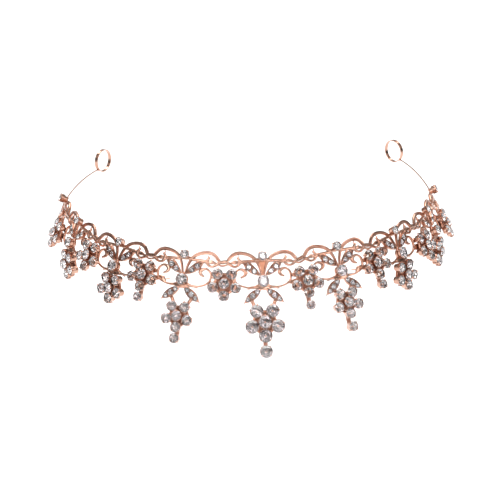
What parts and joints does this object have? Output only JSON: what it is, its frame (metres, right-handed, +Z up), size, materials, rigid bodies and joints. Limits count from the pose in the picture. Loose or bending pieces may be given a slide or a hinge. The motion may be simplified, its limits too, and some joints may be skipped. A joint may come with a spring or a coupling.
{
  "type": "bridal tiara",
  "caption": "Curved openwork headband ornament of scrolls, leaves and flower clusters set with clear stones, held by wire arms that end in hairpin loops.",
  "frame": {"origin": "centre of the head circle, at the height of the body stones of the butterflies", "axes": "+Z up along the wearer's head, front of the tiara towards -Y, +X to the right as seen from the front"},
  "size_m": [0.1534, 0.1272, 0.0381],
  "materials": {
    "rose_gold": "polished rose gold plating over a cast alloy",
    "crystal": "cut and foil-backed clear crystal"
  },
  "bodies": {
    "root": {"butterfly_frame_center": "rose_gold", "pendant_setting_center": "rose_gold", "butterfly_frame_left_1": "rose_gold", "pendant_setting_left_1": "rose_gold", "butterfly_frame_left_2": "rose_gold", "pendant_setting_left_2": "rose_gold", "butterfly_frame_left_3": "rose_gold", "pendant_setting_left_3": "rose_gold", "butterfly_frame_right_1": "rose_gold", "pendant_setting_right_1": "rose_gold", "butterfly_frame_right_2": "rose_gold", "pendant_setting_right_2": "rose_gold", "butterfly_frame_right_3": "rose_gold", "pendant_setting_right_3": "rose_gold", "flower_setting_left_1": "rose_gold", "flower_setting_left_2": "rose_gold", "flower_setting_left_3": "rose_gold", "flower_setting_left_4": "rose_gold", "flower_setting_right_1": "rose_gold", "flower_setting_right_2": "rose_gold", "flower_setting_right_3": "rose_gold", "flower_setting_right_4": "rose_gold", "pendant_drop_center": "rose_gold", "pendant_drop_left_1": "rose_gold", "pendant_drop_right_1": "rose_gold", "flower_drop_right_1": "rose_gold", "flower_drop_left_2": "rose_gold", "flower_drop_right_2": "rose_gold", "end_terminal_left": "rose_gold", "wire_arm_left": "rose_gold", "end_terminal_right": "rose_gold", "wire_arm_right": "rose_gold", "butterfly_stones_center": "crystal", "pendant_stones_center": "crystal", "butterfly_stones_left_1": "crystal", "pendant_stones_left_1": "crystal", "butterfly_stones_left_2": "crystal", "pendant_stones_left_2": "crystal", "butterfly_stones_left_3": "crystal", "pendant_stones_left_3": "crystal", "butterfly_stones_right_1": "crystal", "pendant_stones_right_1": "crystal", "butterfly_stones_right_2": "crystal", "pendant_stones_right_2": "crystal", "butterfly_stones_right_3": "crystal", "pendant_stones_right_3": "crystal", "flower_stones_left_1": "crystal", "flower_stones_left_2": "crystal", "flower_stones_left_3": "crystal", "flower_stones_left_4": "crystal", "flower_stones_right_1": "crystal", "flower_stones_right_2": "crystal", "flower_stones_right_3": "crystal", "flower_stones_right_4": "crystal", "end_stones_left": "crystal", "end_stones_right": "crystal", "drop_stones": "crystal"}
  },
  "joints": []
}
